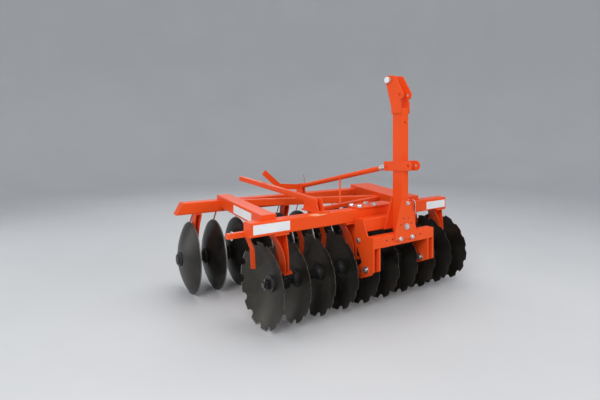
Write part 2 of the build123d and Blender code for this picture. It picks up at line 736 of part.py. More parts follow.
# Band: two plates on the mast's sides, with the top link's holes in front and the brace behind
def make_band_and_brace():
    x_low = hitch_x - mast_width / 2
    x_high = hitch_x + mast_width / 2
    length = band_rear_y - band_front_y
    radius = band_height / 2
    middle = (mast_front + mast_back) / 2
    slope = tan(radians(band_tilt))
    hole_y = band_front_y + band_hole_inset
    hole_z = band_z + slope * (middle - hole_y)
    plates = []
    for plate_x in (x_low - band_plate, x_high):
        plane = Plane(origin=(plate_x, middle, band_z), x_dir=(0, 1, 0), z_dir=(1, 0, 0))
        straight = Pos((band_front_y + radius + band_rear_y) / 2 - middle, 0) * Rectangle(
            length - radius, band_height)
        round_end = Pos(band_front_y + radius - middle, 0) * Circle(radius)
        face = Rot(0, 0, -band_tilt) * (straight + round_end)
        plate = extrude(plane * face, amount=band_plate)
        plate -= hole_x(plate_x, plate_x + band_plate, hole_y, hole_z, band_hole_radius)
        plate -= hole_x(
            plate_x, plate_x + band_plate, brace_front_y, brace_front_z, brace_pin_radius + pin_clearance)
        plates.append(plate)
    parts["mast_band"] = Compound(children=plates)
    front = Vector(hitch_x, brace_front_y, brace_front_z)
    rear = (rear_place * Pos(bracket_x, rear_beam_y, brace_rear_z)).position
    unit = (rear - front).normalized()
    turn = degrees(atan2(-unit.X, unit.Y))
    bracket_place = Pos(rear.X, rear.Y, 0) * Rot(0, 0, turn)
    mast_place = Pos(front.X, front.Y, 0)
    gap = brace_eye_radius + brace_eye_reach
    brace = rod(tuple(front + unit * gap), tuple(rear - unit * gap), brace_radius)
    ends = (
        (front, unit, mast_place, Vector(1, 0, 0), brace_boss_length),
        (rear, unit * -1, bracket_place, Vector(cos(radians(turn)), sin(radians(turn)), 0), brace_eye_plate))
    for centre, direction, place, across, length in ends:
        eye = place * rod((-length / 2, 0, centre.Z), (length / 2, 0, centre.Z), brace_eye_radius)
        neck_plane = Plane(origin=centre, x_dir=across, z_dir=direction)
        neck = extrude(neck_plane * Rectangle(brace_eye_plate, 2 * brace_radius), amount=gap + brace_neck)
        hole = place * hole_x(-length, length, 0, centre.Z, brace_pin_radius + pin_clearance)
        brace = brace + eye + neck - hole
    parts["brace_pipe"] = brace
    lugs = []
    base_half = bracket_length / 2
    for side in (-1, 1):
        lug_low = side * bracket_gap / 2 + (0 if side > 0 else -bracket_plate)
        outline = [
            (-base_half, tube_top), (base_half, tube_top), (bracket_top_radius, rear.Z),
            (-bracket_top_radius, rear.Z)]
        lug = side_plate(lug_low, bracket_plate, outline)
        lug += rod((lug_low, 0, rear.Z), (lug_low + bracket_plate, 0, rear.Z), bracket_top_radius)
        lug -= hole_x(lug_low, lug_low + bracket_plate, 0, rear.Z, brace_pin_radius + pin_clearance)
        lugs.append(bracket_place * lug)
    parts["brace_bracket"] = Compound(children=lugs)
    front_half = mast_width / 2 + band_plate + brace_pin_overhang
    rear_half = bracket_gap / 2 + bracket_plate
    pins = [
        mast_place * rod((-front_half, 0, front.Z), (front_half, 0, front.Z), brace_pin_radius),
        bracket_place * rod(
            (-rear_half, 0, rear.Z), (rear_half + brace_pin_overhang, 0, rear.Z), brace_pin_radius)]
    parts["brace_pins"] = Compound(children=pins)
    return front, rear, bracket_place


# Square bar on its foot above the front beam, lever over the rear beam, and the brace's rod
def make_bars(front, rear, bracket_place):
    way = Vector(*bar_rear) - Vector(*bar_front)
    plane = Plane(origin=bar_front, x_dir=Vector(0, 0, 1).cross(way).normalized(), z_dir=way)
    bar = extrude(plane * Rectangle(bar_side, bar_side), amount=way.length)
    parts["long_bar"] = bar
    foot_place = Pos(bar_front[0], 0, 0) * Rot(0, 0, degrees(atan2(-way.X, way.Y)))
    foot_half = bar_foot_width / 2
    base = block(
        -foot_half, foot_half, bar_foot_front, bar_foot_rear, tube_top, tube_top + bar_foot_base)
    cheeks = []
    for side in (-1, 1):
        low = side * (bar_side / 2 + bar_play) - (bar_foot_plate if side < 0 else 0)
        outline = [
            (bar_foot_front + 40, tube_top + bar_foot_base), (bar_foot_rear, tube_top + bar_foot_base),
            (bar_foot_rear - 20, bar_front[2] + 24), (bar_front[1] - 30, bar_front[2] + 18)]
        cheeks.append(side_plate(low, bar_foot_plate, outline))
    parts["bar_foot"] = foot_place * (base + cheeks[0] + cheeks[1])
    outline = ribbon([lever_tip, lever_bend, (bracket_x, lever_right_z)], lever_height)
    lever = front_plate(rear_beam_y - lever_plate / 2, lever_plate, outline)
    lug_side = bracket_gap / 2 + bracket_plate
    beyond = bracket_place * block(
        -lug_side, bracket_length, -bracket_length, bracket_length, tube_top, 2 * tube_top)
    parts["rear_lever"] = rear_place * lever - beyond
    share = (rod_top_y - front.Y) / (rear.Y - front.Y)
    top = front + (rear - front) * share
    stay_right_x = member_edge_x(right_member_x, right_member_lean, 0, stay_right_y)
    slope = (stay_right_y - stay_left_y) / (stay_right_x - stay_left_x)
    foot = Vector(rod_foot_x, stay_left_y + slope * (rod_foot_x - stay_left_x), tube_top)
    low = foot - (top - foot) * 0.2
    hanger = rod(tuple(low), tuple(top), rod_radius) - rod(tuple(front), tuple(rear), brace_radius)
    spare = 4 * rod_radius
    hanger -= block(
        low.X - spare, foot.X + spare, low.Y - spare, foot.Y + spare, tube_top - tube_side, tube_top)
    parts["brace_stay_rod"] = hanger
    root = rear - (rear - front).normalized() * handle_place
    tip = root + Vector(*handle_way)
    parts["brace_handle"] = rod(tuple(root), tuple(tip), handle_radius) - parts["brace_pipe"]


make_main_frame()
parts["left_side_member"] = make_side_member(left_member_x, left_member_width, left_member_lean)
parts["right_side_member"] = make_side_member(right_member_x, right_member_width, right_member_lean)
make_inner_members()
make_hitch()
make_mast()
brace_front, brace_rear, bracket_place = make_band_and_brace()
make_bars(brace_front, brace_rear, bracket_place)
make_gang_carriers(
    "front", front_place, front_beam_y, front_standard_bays, front_standard_sizes, front_scraper_line,
    front_bar_ends)
make_gang_carriers(
    "rear", rear_place, rear_beam_y, rear_standard_bays, rear_standard_sizes, rear_scraper_line,
    rear_bar_ends)
make_gang("front_gang", front_place, False, True, (-1, 1))
make_gang("rear_gang", rear_place, True, False, (1,))

# Shift to the origin under the middle of the whole part's box, and write the pieces
whole = Compound(list(parts.values())).bounding_box()
origin_x = (whole.min.X + whole.max.X) / 2
origin_y = (whole.min.Y + whole.max.Y) / 2
print(f"box {whole.size.X:.1f} x {whole.size.Y:.1f} x {whole.size.Z:.1f}, low {whole.min.Z:.2f}")
print(f"origin {origin_x:.3f} {origin_y:.3f}")
os.makedirs("parts", exist_ok=True)
for name, part in parts.items():
    export_step(Pos(-origin_x, -origin_y, 0) * part, os.path.join("parts", name + ".step"))
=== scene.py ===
import json
import math

import bmesh
import bpy
from mathutils import Matrix, Vector


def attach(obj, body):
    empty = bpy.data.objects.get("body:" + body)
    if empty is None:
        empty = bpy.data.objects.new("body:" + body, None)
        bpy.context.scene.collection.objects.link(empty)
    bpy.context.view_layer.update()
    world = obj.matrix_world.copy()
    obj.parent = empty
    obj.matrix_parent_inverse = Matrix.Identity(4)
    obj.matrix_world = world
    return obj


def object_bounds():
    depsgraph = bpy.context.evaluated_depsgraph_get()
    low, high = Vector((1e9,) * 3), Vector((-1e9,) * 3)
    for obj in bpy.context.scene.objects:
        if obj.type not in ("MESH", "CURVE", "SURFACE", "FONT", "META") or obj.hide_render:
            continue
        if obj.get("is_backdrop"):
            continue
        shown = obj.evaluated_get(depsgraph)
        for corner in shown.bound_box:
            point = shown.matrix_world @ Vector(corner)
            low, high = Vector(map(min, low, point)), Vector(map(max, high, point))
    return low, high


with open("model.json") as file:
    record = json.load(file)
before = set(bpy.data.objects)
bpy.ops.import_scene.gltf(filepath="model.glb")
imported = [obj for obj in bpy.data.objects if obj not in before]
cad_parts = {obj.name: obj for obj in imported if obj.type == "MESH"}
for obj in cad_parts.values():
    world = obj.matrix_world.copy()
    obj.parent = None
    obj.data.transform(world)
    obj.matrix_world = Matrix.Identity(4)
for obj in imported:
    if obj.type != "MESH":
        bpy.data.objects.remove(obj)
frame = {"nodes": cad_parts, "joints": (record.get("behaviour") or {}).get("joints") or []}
low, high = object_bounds()

# Sizes of the frame that the trim sits on, in millimetres, in the layout's own axes
FRONT_GANG_X = -20.0
AXLE_Z = 305.0
SPACING = 217.0
REAR_ANGLE = math.radians(4.5)
BEAM_FRONT, BEAM_BACK, BEAM_LOW, BEAM_TOP = -110.0, -10.0, 680.0, 780.0
BEAM_LEFT, BEAM_RIGHT = -1220.0, 822.0
REAR_BEAM_RIGHT = 1136.5
MEMBER_LOW = 718.0
MAST_X, MAST_HALF, MAST_FRONT, MAST_BACK = 48.0, 40.0, -322.0, -222.0
MAST_TOP = 1583.0
CROSS_LOW, CROSS_TOP, CROSS_BACK = 507.0, 592.0, -242.0
CHEEK_LEFT, CHEEK_RIGHT = -299.0, -287.0
SOLE_TOP, PAD_LOW = 384.0, 352.0
PLATE_WALL = 12.0
FRONT_BAYS, REAR_BAYS = (1, 4, 9), (1, 5, 9)
DISCS = 10

joints = {joint["name"]: joint for joint in frame["joints"]}
front_hub = Vector(joints["front_gang_spin"]["pos_m"])
rear_hub = Vector(joints["rear_gang_spin"]["pos_m"])
rear_axis = Vector((math.cos(REAR_ANGLE), -math.sin(REAR_ANGLE), 0))
rear_back = Vector((math.sin(REAR_ANGLE), math.cos(REAR_ANGLE), 0))


def at(x, y, z):
    """A layout point in millimetres, as a scene point in metres."""
    return front_hub + Vector((x - FRONT_GANG_X, y, z - AXLE_Z)) / 1000


def in_front(x, y, z):
    """A point given from the front gang's middle."""
    return front_hub + Vector((x, y, z - AXLE_Z)) / 1000


def in_rear(x, y, z):
    """A point given from the rear gang's middle, along its turned axes."""
    return rear_hub + (rear_axis * x + rear_back * y + Vector((0, 0, z - AXLE_Z))) / 1000


def hub(number):
    """How far a disc's middle stands from the gang's middle."""
    return SPACING * (number - (DISCS + 1) / 2)


X, Y, Z = Vector((1, 0, 0)), Vector((0, 1, 0)), Vector((0, 0, 1))


# Materials
def new_material(name):
    """A material with its node tree and its shader."""
    material = bpy.data.materials.new(name)
    material.use_nodes = True
    tree = material.node_tree
    return material, tree, tree.nodes["Principled BSDF"]


def node(tree, kind, **values):
    """A new node, with values for its sockets or its own settings."""
    made = tree.nodes.new(kind)
    for key, value in values.items():
        if key in made.inputs:
            made.inputs[key].default_value = value
        else:
            setattr(made, key, value)
    return made


def noise(tree, scale, detail=4.0, roughness=0.55):
    """Noise over the object's own coordinates."""
    place = node(tree, "ShaderNodeTexCoord").outputs["Object"]
    made = node(tree, "ShaderNodeTexNoise")
    made.inputs["Scale"].default_value = scale
    made.inputs["Detail"].default_value = detail
    made.inputs["Roughness"].default_value = roughness
    tree.links.new(place, made.inputs["Vector"])
    return made.outputs["Fac"]


def ramp(tree, source, stops):
    """A colour ramp from (position, colour) stops."""
    made = node(tree, "ShaderNodeValToRGB")
    elements = made.color_ramp.elements
    while len(elements) < len(stops):
        elements.new(0.5)
    for element, (position, colour) in zip(elements, stops):
        element.position = position
        element.color = (*colour, 1)
    tree.links.new(source, made.inputs["Fac"])
    return made.outputs["Color"]


def spread(tree, source, low_value, high_value, start=0.3, end=0.7):
    """A value spread from low to high as the source goes from start to end."""
    made = node(tree, "ShaderNodeMapRange")
    made.inputs["From Min"].default_value = start
    made.inputs["From Max"].default_value = end
    made.inputs["To Min"].default_value = low_value
    made.inputs["To Max"].default_value = high_value
    tree.links.new(source, made.inputs["Value"])
    return made.outputs["Result"]


def mix(tree, share, first, second):
    """The first colour going over to the second by a share."""
    made = node(tree, "ShaderNodeMix", data_type="RGBA")
    tree.links.new(share, made.inputs[0])
    for source, socket in ((first, made.inputs[6]), (second, made.inputs[7])):
        if isinstance(source, tuple):
            socket.default_value = (*source, 1)
        else:
            tree.links.new(source, socket)
    return made.outputs[2]


def bump(tree, height, distance, strength, normal=None):
    """A normal bent by a height map, from a given normal or the plain one."""
    made = node(tree, "ShaderNodeBump")
    made.inputs["Distance"].default_value = distance
    made.inputs["Strength"].default_value = strength
    tree.links.new(height, made.inputs["Height"])
    if normal:
        tree.links.new(normal, made.inputs["Normal"])
    return made.outputs["Normal"]


def bevelled(tree, radius):
    """A normal that rounds off the sharp edges, and how far it has turned there."""
    soft = node(tree, "ShaderNodeBevel", samples=4)
    soft.inputs["Radius"].default_value = radius
    plain = node(tree, "ShaderNodeNewGeometry")
    dot = node(tree, "ShaderNodeVectorMath", operation="DOT_PRODUCT")
    tree.links.new(soft.outputs["Normal"], dot.inputs[0])
    tree.links.new(plain.outputs["Normal"], dot.inputs[1])
    edge = spread(tree, dot.outputs["Value"], 1.0, 0.0, 0.72, 0.98)
    return soft.outputs["Normal"], edge


def near_point(tree, centre, reach):
    """1 at a point of the object, falling to 0 at a reach along each axis."""
    place = node(tree, "ShaderNodeTexCoord").outputs["Object"]
    off = node(tree, "ShaderNodeVectorMath", operation="SUBTRACT")
    off.inputs[1].default_value = centre
    tree.links.new(place, off.inputs[0])
    share = node(tree, "ShaderNodeVectorMath", operation="DIVIDE")
    share.inputs[1].default_value = reach
    tree.links.new(off.outputs["Vector"], share.inputs[0])
    length = node(tree, "ShaderNodeVectorMath", operation="LENGTH")
    tree.links.new(share.outputs["Vector"], length.inputs[0])
    return spread(tree, length.outputs["Value"], 1.0, 0.0, 0.5, 1.0)


def paint_material(name, deep, plain, light, edge_radius=0.0045, highlight_at=None):
    """Gloss enamel: cloudy colour, orange-peel surface, a little dust, edges painted paler as a
    painted highlight, and where asked a painted highlight patch.
    """
    material, tree, shader = new_material(name)
    clouds = noise(tree, 1.6, 3.0)
    colour = ramp(tree, clouds, [(0.2, deep), (0.5, plain), (0.8, light)])
    normal, edge = bevelled(tree, edge_radius)
    # Painted highlight: the edges are painted paler, broken up by noise
    highlight_breakup = noise(tree, 140.0, 3.0)
    edge_highlight = node(tree, "ShaderNodeMath", operation="MULTIPLY")
    tree.links.new(edge, edge_highlight.inputs[0])
    tree.links.new(spread(tree, highlight_breakup, 0.35, 0.8, 0.42, 0.66), edge_highlight.inputs[1])
    edge_highlight_colour = tuple(min(1.0, value * 1.05 + 0.09) for value in light)
    colour = mix(tree, edge_highlight.outputs["Value"], colour, edge_highlight_colour)
    dust = noise(tree, 22.0, 6.0, 0.65)
    colour = mix(tree, spread(tree, dust, 0.0, 0.07, 0.55, 0.8), colour, (0.60, 0.30, 0.16))
    # Painted highlight: a pale glare patch about one spot
    if highlight_at:
        highlight_patch = node(tree, "ShaderNodeMath", operation="MULTIPLY")
        tree.links.new(near_point(tree, *highlight_at), highlight_patch.inputs[0])
        tree.links.new(spread(tree, highlight_breakup, 0.35, 0.95, 0.36, 0.56), highlight_patch.inputs[1])
        colour = mix(tree, highlight_patch.outputs["Value"], colour, (0.86, 0.52, 0.30))
    tree.links.new(colour, shader.inputs["Base Color"])
    tree.links.new(spread(tree, dust, 0.26, 0.36), shader.inputs["Roughness"])
    peel = noise(tree, 420.0, 2.0)
    tree.links.new(bump(tree, peel, 0.00012, 0.5, normal), shader.inputs["Normal"])
    shader.inputs["Specular IOR Level"].default_value = 0.22
    shader.inputs["Specular Tint"].default_value = (1.0, 0.52, 0.22, 1)
    shader.inputs["Coat Weight"].default_value = 0.04
    shader.inputs["Coat Roughness"].default_value = 0.12
    return material


def radius_from(tree, point, axis):
    """Distance from a shaft, for rings on the pieces that turn on it."""
    place = node(tree, "ShaderNodeTexCoord").outputs["Object"]
    off = node(tree, "ShaderNodeVectorMath", operation="SUBTRACT")
    off.inputs[1].default_value = point
    tree.links.new(place, off.inputs[0])
    cross = node(tree, "ShaderNodeVectorMath", operation="CROSS_PRODUCT")
    cross.inputs[1].default_value = axis
    tree.links.new(off.outputs["Vector"], cross.inputs[0])
    length = node(tree, "ShaderNodeVectorMath", operation="LENGTH")
    tree.links.new(cross.outputs["Vector"], length.inputs[0])
    return length.outputs["Value"]


def disc_material(name, point, axis, tint_and_shade):
    """Dark dished steel with rolling scale, fine rings about the shaft and a ground rim."""

    def tinted_and_shaded(*colour):
        """A colour times this gang's tint, which also holds painted light and shade: front discs
        lighter, rear discs darker.
        """
        return tuple(value * part for value, part in zip(colour, tint_and_shade))

    material, tree, shader = new_material(name)
    distance = radius_from(tree, point, axis)
    scale = noise(tree, 7.0, 7.0, 0.62)
    colour = ramp(tree, scale, [
        (0.3, tinted_and_shaded(0.026, 0.025, 0.024)),
        (0.55, tinted_and_shaded(0.047, 0.044, 0.040)),
        (0.75, tinted_and_shaded(0.082, 0.077, 0.066)),
    ])
    rings = node(tree, "ShaderNodeTexNoise", noise_dimensions="1D")
    rings.inputs["Scale"].default_value = 260.0
    rings.inputs["Detail"].default_value = 4.0
    tree.links.new(distance, rings.inputs["W"])
    ring_share = spread(tree, rings.outputs["Fac"], 0.0, 0.3, 0.5, 0.75)
    colour = mix(tree, ring_share, colour, tinted_and_shaded(0.090, 0.086, 0.076))
    rim_start, rim_end = 0.2975, 0.3035
    rim = spread(tree, distance, 0.0, 0.75, rim_start, rim_end)
    colour = mix(tree, rim, colour, (0.27, 0.262, 0.25))
    smudge = noise(tree, 3.0, 5.0)
    rub = spread(tree, smudge, 0.0, 0.4, 0.48, 0.7)
    colour = mix(tree, rub, colour, tinted_and_shaded(0.085, 0.078, 0.058))
    tree.links.new(colour, shader.inputs["Base Color"])
    tree.links.new(spread(tree, scale, 0.3, 0.46), shader.inputs["Roughness"])
    shader.inputs["Metallic"].default_value = 0.72
    normal = bevelled(tree, 0.0015)[0]
    tree.links.new(bump(tree, rings.outputs["Fac"], 0.0002, 0.35, normal), shader.inputs["Normal"])
    return material


def cast_material(name, dark, light, grain=0.0006):
    """Cast iron under thin black paint: grainy, with dull spots and paler edges."""
    material, tree, shader = new_material(name)
    spots = noise(tree, 26.0, 7.0, 0.7)
    colour = ramp(tree, spots, [(0.35, dark), (0.7, light)])
    normal, edge = bevelled(tree, 0.002)
    colour = mix(tree, spread(tree, edge, 0.0, 0.5, 0.2, 1.0), colour, (0.20, 0.19, 0.18))
    tree.links.new(colour, shader.inputs["Base Color"])
    tree.links.new(spread(tree, spots, 0.42, 0.62), shader.inputs["Roughness"])
    shader.inputs["Metallic"].default_value = 0.35
    grit = noise(tree, 260.0, 4.0)
    tree.links.new(bump(tree, grit, grain, 0.5, normal), shader.inputs["Normal"])
    return material


def zinc_material(name, dark, light, low_rough=0.24, high_rough=0.42):
    """Zinc-plated steel: bright, with a cloudy spangle and dull scuffs."""
    material, tree, shader = new_material(name)
    spangle = noise(tree, 90.0, 3.0)
    colour = ramp(tree, spangle, [(0.35, dark), (0.65, light)])
    normal, edge = bevelled(tree, 0.001)
    colour = mix(tree, spread(tree, edge, 0.0, 0.5), colour, (0.86, 0.86, 0.86))
    tree.links.new(colour, shader.inputs["Base Color"])
    scuff = noise(tree, 30.0, 6.0, 0.65)
    tree.links.new(spread(tree, scuff, low_rough, high_rough), shader.inputs["Roughness"])
    shader.inputs["Metallic"].default_value = 0.9
    tree.links.new(bump(tree, scuff, 0.0002, 0.4, normal), shader.inputs["Normal"])
    return material


def plate_material(name):
    """A blank white film plate: clean, slightly uneven, with faint smudges."""
    material, tree, shader = new_material(name)
    smudge = noise(tree, 9.0, 6.0, 0.6)
    colour = ramp(tree, smudge, [(0.3, (0.74, 0.76, 0.77)), (0.7, (0.83, 0.84, 0.84))])
    tree.links.new(colour, shader.inputs["Base Color"])
    tree.links.new(spread(tree, smudge, 0.42, 0.55), shader.inputs["Roughness"])
    ripple = noise(tree, 35.0, 2.0)
    tree.links.new(bump(tree, ripple, 0.0002, 0.3), shader.inputs["Normal"])
    return material


def rubber_material(name):
    """Black seal rubber: dull, dusty, finely textured."""
    material, tree, shader = new_material(name)
    dust = noise(tree, 45.0, 6.0, 0.7)
    colour = ramp(tree, dust, [(0.4, (0.012, 0.012, 0.013)), (0.75, (0.06, 0.055, 0.05))])
    tree.links.new(colour, shader.inputs["Base Color"])
    tree.links.new(spread(tree, dust, 0.5, 0.75), shader.inputs["Roughness"])
    tree.links.new(bump(tree, dust, 0.0003, 0.4), shader.inputs["Normal"])
    return material


def floor_material(name):
    """A plain pale studio floor with a very faint unevenness."""
    material, tree, shader = new_material(name)
    patches = noise(tree, 0.8, 4.0)
    colour = ramp(tree, patches, [(0.3, (0.62, 0.625, 0.63)), (0.7, (0.65, 0.655, 0.66))])
    tree.links.new(colour, shader.inputs["Base Color"])
    shader.inputs["Roughness"].default_value = 0.7
    return material


ENAMEL_TONES = ((0.82, 0.074, 0.011), (0.87, 0.084, 0.013), (0.90, 0.094, 0.016))
WELD_TONES = ((0.74, 0.062, 0.010), (0.80, 0.075, 0.012), (0.85, 0.090, 0.016))
# A pale patch is painted on the front beam's top about one spot as a painted highlight, to a reach
# in metres
HIGHLIGHT_SPOT = at(-650.0, -96.0, BEAM_TOP)
HIGHLIGHT_REACH = (0.095, 0.036, 0.016)
ORANGE = paint_material("orange_enamel", *ENAMEL_TONES)
ORANGE_HIGHLIGHTED = paint_material("orange_painted_highlight", *ENAMEL_TONES, highlight_at=(HIGHLIGHT_SPOT, HIGHLIGHT_REACH))
ORANGE_WELD = paint_material("orange_weld", *WELD_TONES, edge_radius=0.0008)
# Same steel on both gangs: the front is painted lighter and the rear darker as painted light and
# shade, with a warmer tint at the front
FRONT_DISC = disc_material("disc_steel_front", front_hub, X, (1.10, 1.06, 0.96))
REAR_DISC = disc_material("disc_steel_rear", rear_hub, rear_axis, (0.80, 0.79, 0.77))
CAST = cast_material("cast_black", (0.014, 0.014, 0.016), (0.040, 0.039, 0.038))
CAST_GREY = cast_material("cast_grey", (0.035, 0.034, 0.033), (0.085, 0.082, 0.078), 0.0004)
SHAFT = zinc_material("shaft_steel", (0.10, 0.10, 0.105), (0.20, 0.195, 0.19), 0.32, 0.5)
ZINC = zinc_material("zinc", (0.55, 0.55, 0.55), (0.74, 0.74, 0.73))
DULL_ZINC = zinc_material("dull_zinc", (0.24, 0.24, 0.24), (0.36, 0.36, 0.35), 0.36, 0.52)
# Matte white on the mast pin's steel head is a painted highlight
PIN_HEAD_HIGHLIGHT = plate_material("pin_head_painted_highlight")
PLATE = plate_material("blank_plate")
RUBBER = rubber_material("seal_rubber")

OWN_FINISH = {
    "front_gang_discs": FRONT_DISC, "rear_gang_discs": REAR_DISC,
    "front_gang_spools": CAST, "rear_gang_spools": CAST,
    "front_bearing_housings": CAST, "rear_bearing_housings": CAST,
    "front_gang_end_washers": CAST_GREY, "rear_gang_end_washers": CAST_GREY,
    "front_gang_end_nuts": CAST, "rear_gang_end_nuts": CAST,
    "front_gang_axle": SHAFT, "rear_gang_axle": SHAFT,
    "lower_link_pins": ZINC, "mast_head_pin": ZINC,
    "brace_handle": ZINC, "front_beam": ORANGE_HIGHLIGHTED, "brace_pins": ORANGE,
}
for name, held in frame["nodes"].items():
    finish = OWN_FINISH.get(name, ORANGE)
    for item in held if isinstance(held, (list, tuple)) else [held]:
        item.data.materials.clear()
        item.data.materials.append(finish)


# Small forms, gathered in one mesh for each kind of trim
class Trim:
    """Pieces of one finish that ride on one body."""

    def __init__(self, name, body, material, slot=None):
        self.name, self.body, self.material, self.slot = name, body, material, slot
        self.mesh = bmesh.new()

    def lathe(self, base, axis, profile, sides=20, spin=0.0):
        """A closed form about an axis, from (radius, height) rings in millimetres."""
        axis = axis.normalized()
        side = axis.orthogonal().normalized()
        side = Matrix.Rotation(spin, 3, axis) @ side
        other = axis.cross(side)
        rings = []
        for radius, height in profile:
            centre = base + axis * (height / 1000)
            if radius <= 0:
                rings.append([self.mesh.verts.new(centre)])
                continue
            ring = []
            for step in range(sides):
                angle = 2 * math.pi * step / sides
                way = side * math.cos(angle) + other * math.sin(angle)
                ring.append(self.mesh.verts.new(centre + way * (radius / 1000)))
            rings.append(ring)
        for first, second in zip(rings, rings[1:]):
            for step in range(sides):
                after = (step + 1) % sides
                corners = [first[step % len(first)], first[after % len(first)],
                           second[after % len(second)], second[step % len(second)]]
                kept = list(dict.fromkeys(corners))
                if len(kept) > 2:
                    self.mesh.faces.new(kept)
        for ring in (rings[0], rings[-1]):
            if len(ring) > 2:
                self.mesh.faces.new(ring)

    def washer(self, base, axis, outer, inner, thickness):
        """A flat ring with softened edges."""
        edge = min(0.6, thickness / 4)
        self.lathe(base, axis, [
            (inner, 0), (outer - edge, 0), (outer, edge), (outer, thickness - edge),
            (outer - edge, thickness), (inner, thickness), (inner, 0)], 28)

    def disc(self, base, axis, radius, thickness, sides):
        """A flat round of even thickness."""
        self.lathe(base, axis, [(0, 0), (radius, 0), (radius, thickness), (0, thickness)], sides)

    def seat_washer(self, base, axis, size):
        """The washer under a head or nut, and the point where that stands on it."""
        self.disc(base, axis, size * 1.05, size * 0.17, 24)
        return base + axis * (size * 0.17 / 1000)

    def bolt(self, base, axis, size, spin=0.3):
        """A hexagon bolt head on its washer, standing on a surface."""
        seat = self.seat_washer(base, axis, size)
        across = size * 0.9
        self.lathe(seat, axis, [
            (0, 0), (across, 0), (across, size * 0.52),
            (across * 0.9, size * 0.62), (0, size * 0.62)], 6, spin)

    def nut(self, base, axis, size):
        """A nut with its washer and the bolt's threaded end."""
        seat = self.seat_washer(base, axis, size)
        across = size * 0.9
        self.lathe(seat, axis, [
            (across * 0.9, 0), (across, size * 0.08), (across, size * 0.72),
            (across * 0.9, size * 0.8), (size * 0.5, size * 0.8), (size * 0.5, 0)], 6, 0.7)
        tip = [(0, 0)]
        turns = 6
        for step in range(turns):
            height = size * (0.7 + 0.5 * step / turns)
            tip += [(size * 0.5, height), (size * 0.44, height + size * 0.04)]
        tip += [(size * 0.4, size * 1.24), (0, size * 1.24)]
        self.lathe(seat, axis, tip, 16)

    def slab(self, corners, thickness, away):
        """A thin plate from four corner points, raised along a direction."""
        raised = away.normalized() * (thickness / 1000)
        inset = 0.0006
        middle = sum(corners, Vector()) / len(corners)
        lower = [self.mesh.verts.new(corner) for corner in corners]
        upper = [self.mesh.verts.new(corner + raised * 0.6) for corner in corners]
        top = []
        for corner in corners:
            inward = (middle - corner).normalized() * inset
            top.append(self.mesh.verts.new(corner + raised + inward))
        count = len(corners)
        for first, second in ((lower, upper), (upper, top)):
            for step in range(count):
                after = (step + 1) % count
                self.mesh.faces.new([first[step], first[after], second[after], second[step]])
        self.mesh.faces.new(top)
        self.mesh.faces.new(lower[::-1])

    def bead(self, points, radius, closed=False):
        """A rippled weld bead along a line of points."""
        path = list(points) + ([points[0]] if closed else [])
        pace = 0.0045
        centres = []
        for start, end in zip(path, path[1:]):
            count = max(2, int((end - start).length / pace))
            centres += [start.lerp(end, step / count) for step in range(count)]
        centres.append(path[-1])
        rings = []
        for number, centre in enumerate(centres):
            before = centres[max(number - 1, 0)]
            after = centres[min(number + 1, len(centres) - 1)]
            way = (after - before).normalized()
            side = way.orthogonal().normalized()
            other = way.cross(side)
            swell = 1.0 + 0.16 * math.sin(number * 2.1) + 0.08 * math.sin(number * 0.7)
            if number in (0, len(centres) - 1):
                swell = 0.35
            ring = []
            for step in range(6):
                angle = 2 * math.pi * step / 6
                reach = radius * swell / 1000
                ring.append(self.mesh.verts.new(
                    centre + (side * math.cos(angle) + other * math.sin(angle)) * reach))
            rings.append(ring)
        for first, second in zip(rings, rings[1:]):
            nearest = min(range(6), key=lambda turn: (second[turn].co - first[0].co).length)
            for step in range(6):
                after = (step + 1) % 6
                self.mesh.faces.new([
                    first[step], first[after],
                    second[(after + nearest) % 6], second[(step + nearest) % 6]])
            second[:] = second[nearest:] + second[:nearest]
        self.mesh.faces.new(rings[0][::-1])
        self.mesh.faces.new(rings[-1])

    def wire(self, points, radius, sides=10):
        """A round wire along a line of points."""
        rings = []
        for number, centre in enumerate(points):
            before = points[max(number - 1, 0)]
            after = points[min(number + 1, len(points) - 1)]
            way = (after - before).normalized()
            side = way.orthogonal().normalized()
            other = way.cross(side)
            rings.append([self.mesh.verts.new(
                centre + (side * math.cos(2 * math.pi * step / sides)
                          + other * math.sin(2 * math.pi * step / sides)) * (radius / 1000))
                for step in range(sides)])
        for first, second in zip(rings, rings[1:]):
            nearest = min(range(sides), key=lambda turn: (second[turn].co - first[0].co).length)
            second[:] = second[nearest:] + second[:nearest]
            for step in range(sides):
                after = (step + 1) % sides
                self.mesh.faces.new([first[step], first[after], second[after], second[step]])
        self.mesh.faces.new(rings[0][::-1])
        self.mesh.faces.new(rings[-1])

    def done(self):
        """Makes the object, gives it its finish and sets it on its body."""
        bmesh.ops.recalc_face_normals(self.mesh, faces=self.mesh.faces)
        data = bpy.data.meshes.new(self.name)
        self.mesh.to_mesh(data)
        self.mesh.free()
        data.materials.append(self.material)
        data.shade_smooth()
        data.set_sharp_from_angle(angle=math.radians(38))
        piece = bpy.data.objects.new(self.name, data)
        bpy.context.scene.collection.objects.link(piece)
        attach(piece, self.body)
        return piece


# Blank plates on the front beam and the left side member
plates = Trim("blank_plates", "frame", PLATE)
plate_thickness = 1.2
plate_y = BEAM_FRONT - 0.2
front_plates = (
    # left, right, low, high
    (-1206.0, -908.0, 699.0, 765.0),
    (560.0, 816.0, 692.0, 758.0),
)
for left, right, bottom, top in front_plates:
    plates.slab([
        at(left, plate_y, bottom), at(right, plate_y, bottom),
        at(right, plate_y, top), at(left, plate_y, top)], plate_thickness, -Y)


def member_x(start, lean_deg, y):
    """The place of a side member's edge line at a depth."""
    return start + math.tan(math.radians(lean_deg)) * (y - BEAM_BACK)


